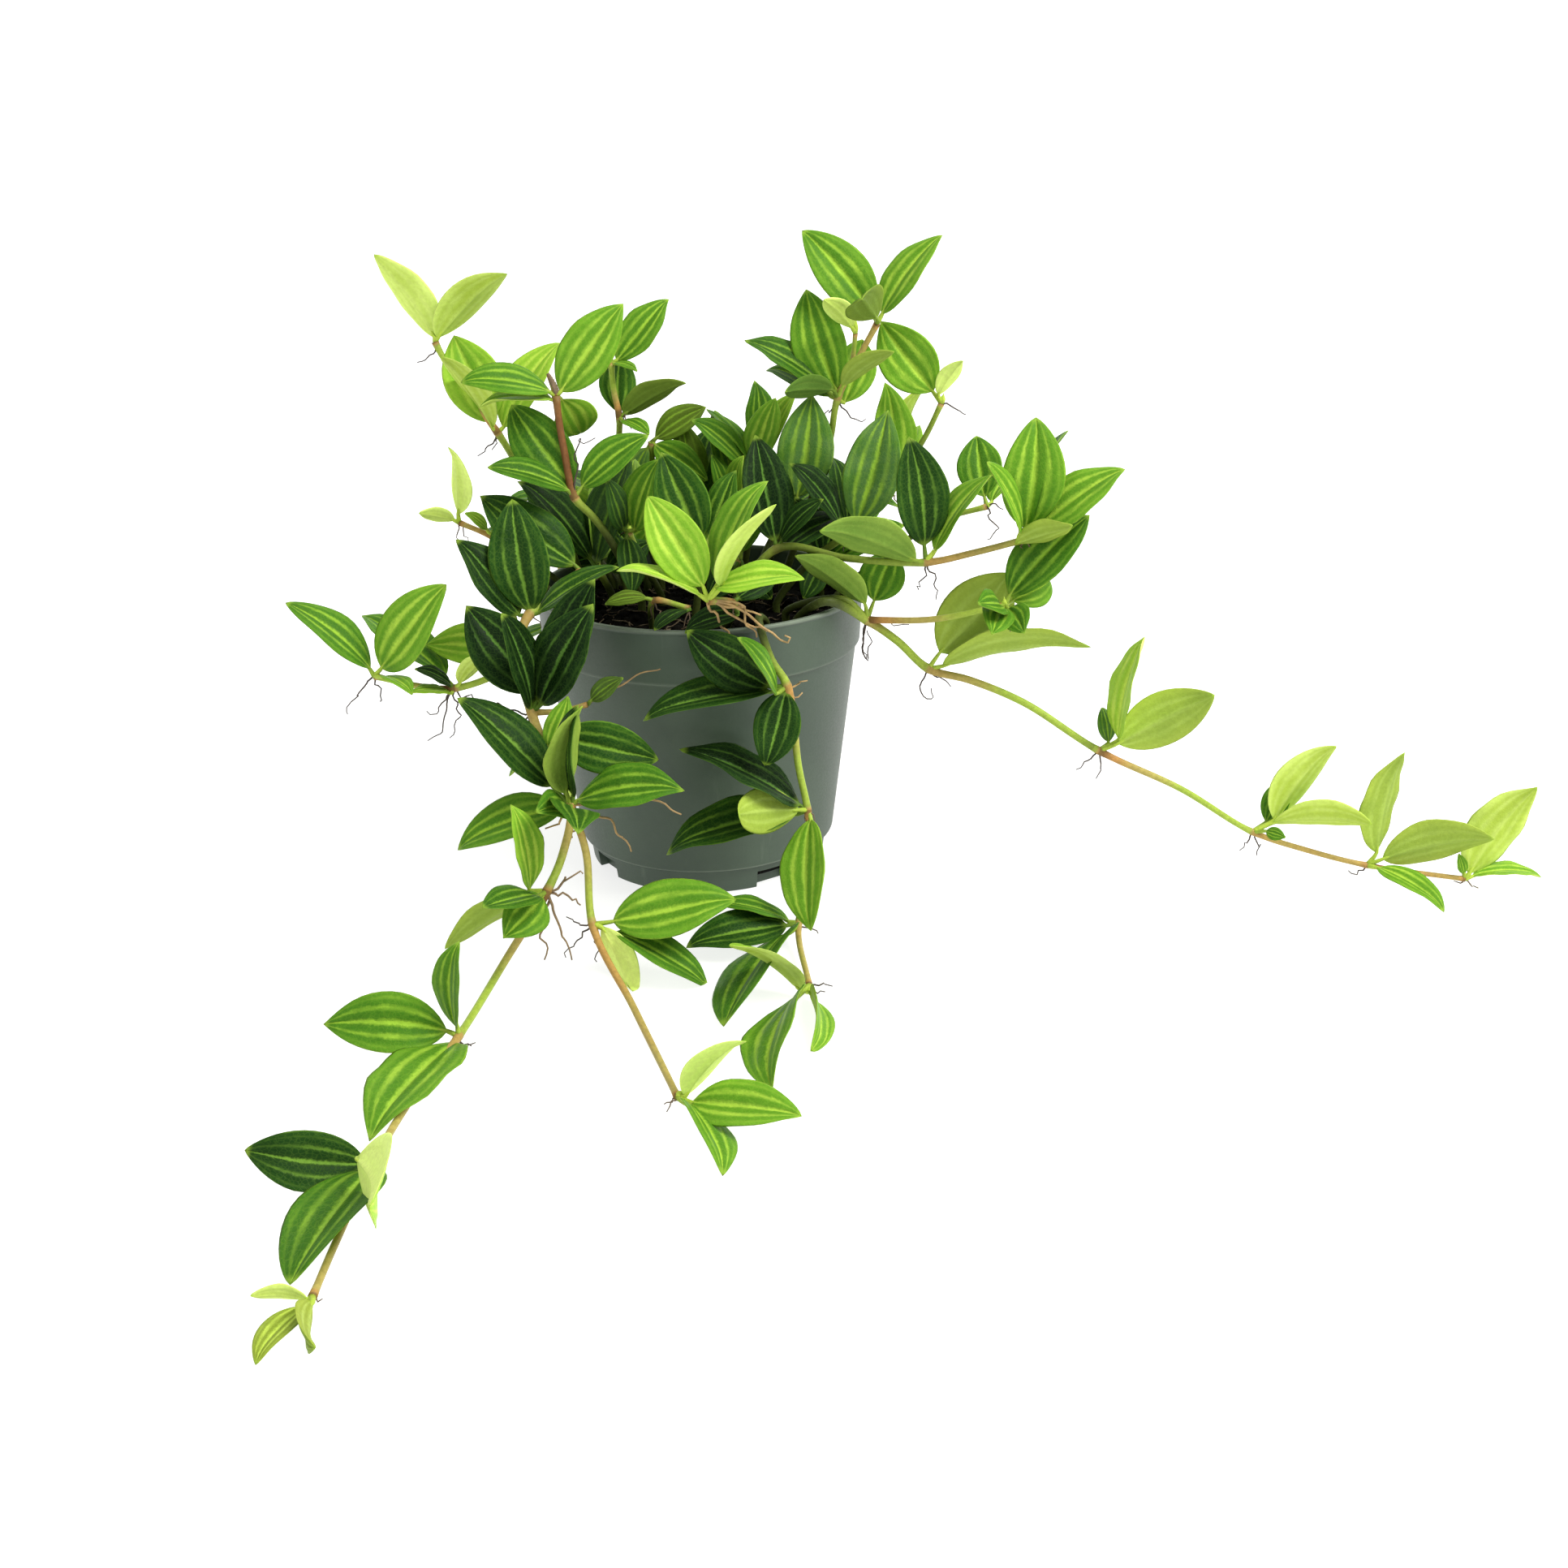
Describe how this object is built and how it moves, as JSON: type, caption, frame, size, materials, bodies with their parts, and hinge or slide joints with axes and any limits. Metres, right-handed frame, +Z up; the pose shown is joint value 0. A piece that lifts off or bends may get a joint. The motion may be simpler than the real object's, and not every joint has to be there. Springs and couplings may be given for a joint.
{
  "type": "potted trailing plant",
  "caption": "Trailing peperomia with pointed, lengthwise veined leaves on thin stems in a round tapered nursery pot of soil, some stems lying along the surface in front of it.",
  "frame": {"origin": "middle of the pot's underside, on the plane that the pot stands on", "axes": "+Z up, -Y to the front where the cascade of stems comes down and lies along the surface, +X to the right where the longest stem trails"},
  "size_m": [0.4008, 0.3587, 0.2041],
  "materials": {
    "pot": "satin",
    "soil": "matte",
    "foliage": "satin"
  },
  "bodies": {
    "root": {"pot": "pot", "soil": "soil", "stem_upper_left": "foliage", "stem_flowering": "foliage", "stem_top_left": "foliage", "stem_left_tip": "foliage", "stem_left_cascade": "foliage", "stem_far_left": "foliage", "stem_front_bright": "foliage", "stem_front": "foliage", "stem_rim_front": "foliage", "stem_mound_left": "foliage", "stem_mound_middle": "foliage", "stem_mound_front": "foliage", "stem_mound_back": "foliage", "stem_mound_high": "foliage", "stem_right_front": "foliage", "stem_right_middle": "foliage", "stem_right_inner": "foliage", "stem_right_trail": "foliage", "stem_top_right": "foliage", "stem_low_left": "foliage", "stem_low_middle": "foliage", "stem_low_right": "foliage", "stem_low_back": "foliage", "stem_low_edge": "foliage", "stem_top_middle": "foliage", "stem_right_back": "foliage", "stem_right_tip": "foliage", "stem_right_short": "foliage", "stem_back_trail_1": "foliage", "stem_back_trail_2": "foliage", "stem_back_trail_3": "foliage", "stem_back_trail_4": "foliage", "stem_back_upright_1": "foliage", "stem_back_upright_2": "foliage", "stem_back_upright_3": "foliage"}
  },
  "joints": []
}
